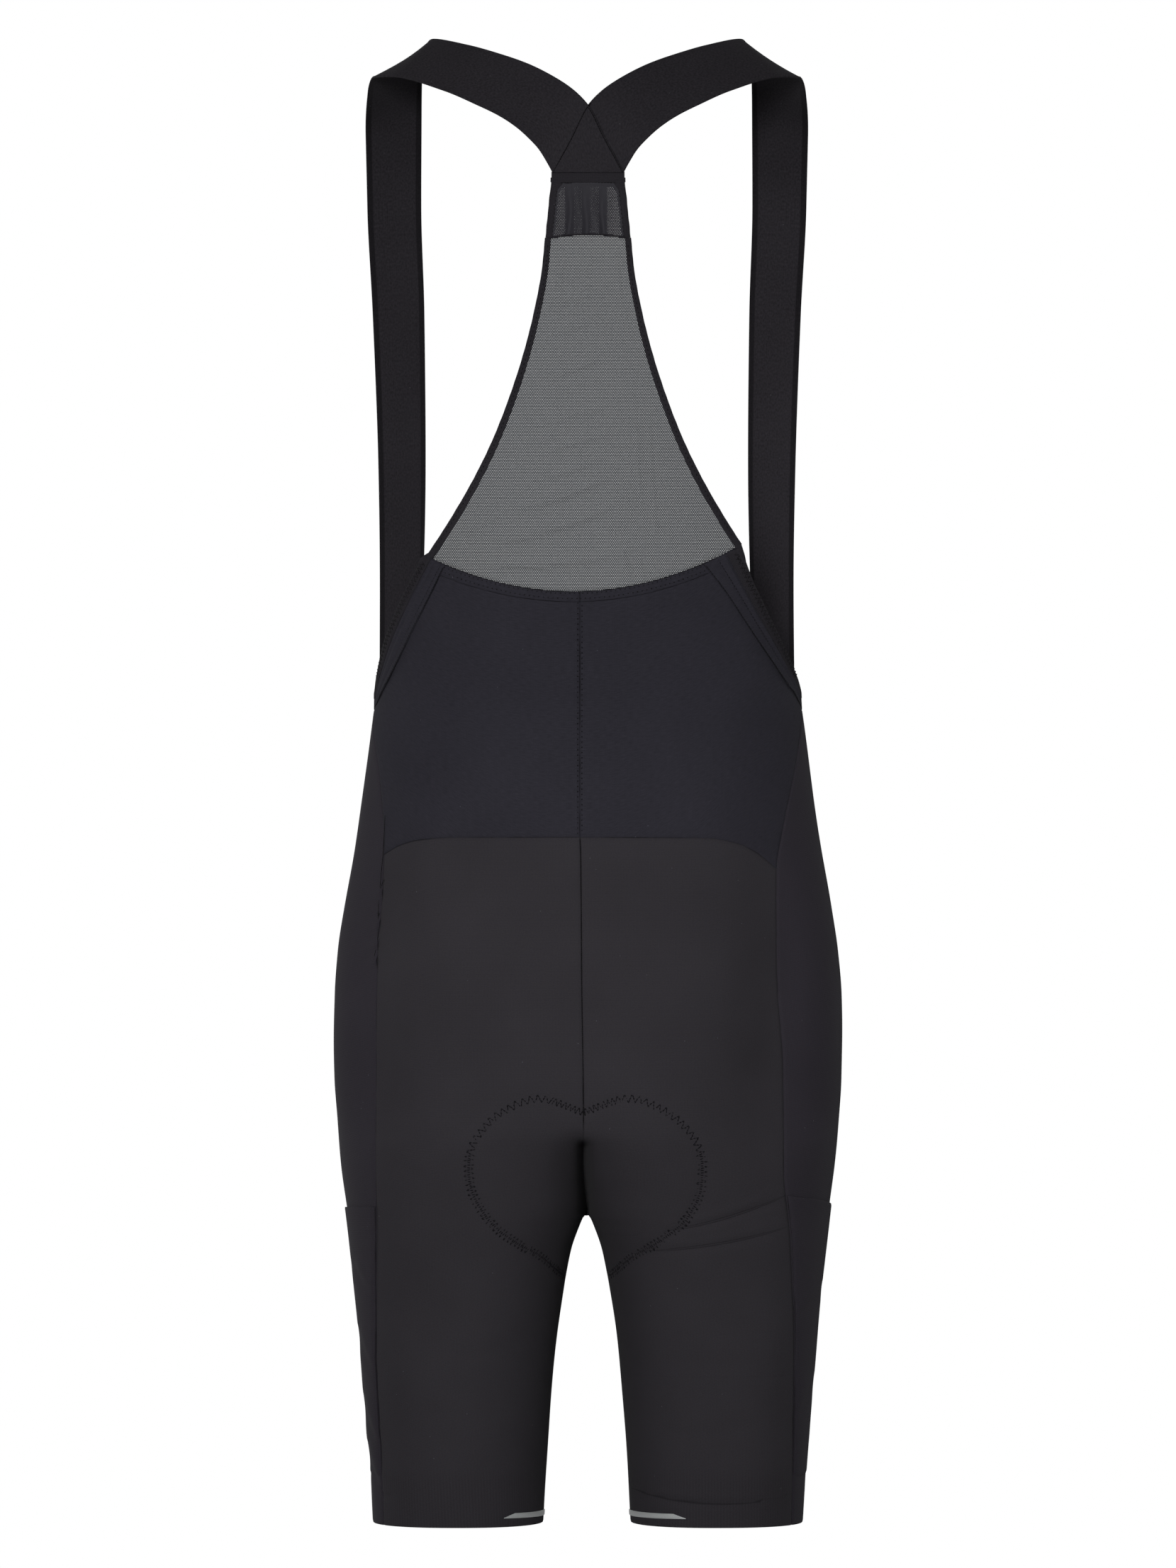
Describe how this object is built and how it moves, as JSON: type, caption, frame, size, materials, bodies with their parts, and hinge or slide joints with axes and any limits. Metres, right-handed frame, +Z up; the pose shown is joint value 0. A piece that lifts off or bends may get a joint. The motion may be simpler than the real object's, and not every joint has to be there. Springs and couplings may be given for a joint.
{
  "type": "cycling bib shorts",
  "caption": "Black cycling bib shorts with crossed elastic shoulder straps, a mesh back, a sewn-in seat pad and side leg pockets, filled out with no wearer.",
  "frame": {"origin": "midway between the tops of the two shoulder straps, where the wearer's shoulders hold it", "axes": "+Z up, the back of the garment faces -Y, its front +Y, and the wearer's right side is +X"},
  "size_m": [0.3433, 0.2283, 1.0036],
  "materials": {
    "shell_knit": "matte warp-knitted stretch jersey",
    "waist_jersey": "matte fine jersey",
    "side_jersey": "matte stretch jersey",
    "strap_webbing": "matte flat elastic",
    "open_mesh": "open hexagonal net",
    "edge_elastic": "matte folded elastic",
    "reflective_film": "grey retroreflective film",
    "pad_foam": "matte brushed foam laminate"
  },
  "bodies": {
    "root": {"strap_left": "strap_webbing", "strap_right": "strap_webbing", "yoke_band": "edge_elastic", "yoke_mesh": "open_mesh", "yoke_edge_left": "edge_elastic", "yoke_edge_right": "edge_elastic", "back_mesh": "open_mesh", "mesh_edge_left": "edge_elastic", "mesh_edge_right": "edge_elastic", "waist_panel_left": "waist_jersey", "waist_panel_right": "waist_jersey", "armhole_band_left": "edge_elastic", "armhole_band_right": "edge_elastic", "seat_panel_left": "shell_knit", "seat_panel_right": "shell_knit", "side_panel_left": "side_jersey", "side_panel_right": "side_jersey", "leg_pocket_left": "side_jersey", "leg_pocket_right": "side_jersey", "front_panel_left": "shell_knit", "front_panel_right": "shell_knit", "hem_reflector_left": "reflective_film", "hem_reflector_right": "reflective_film", "seat_pad_left": "pad_foam", "seat_pad_right": "pad_foam"}
  },
  "joints": []
}
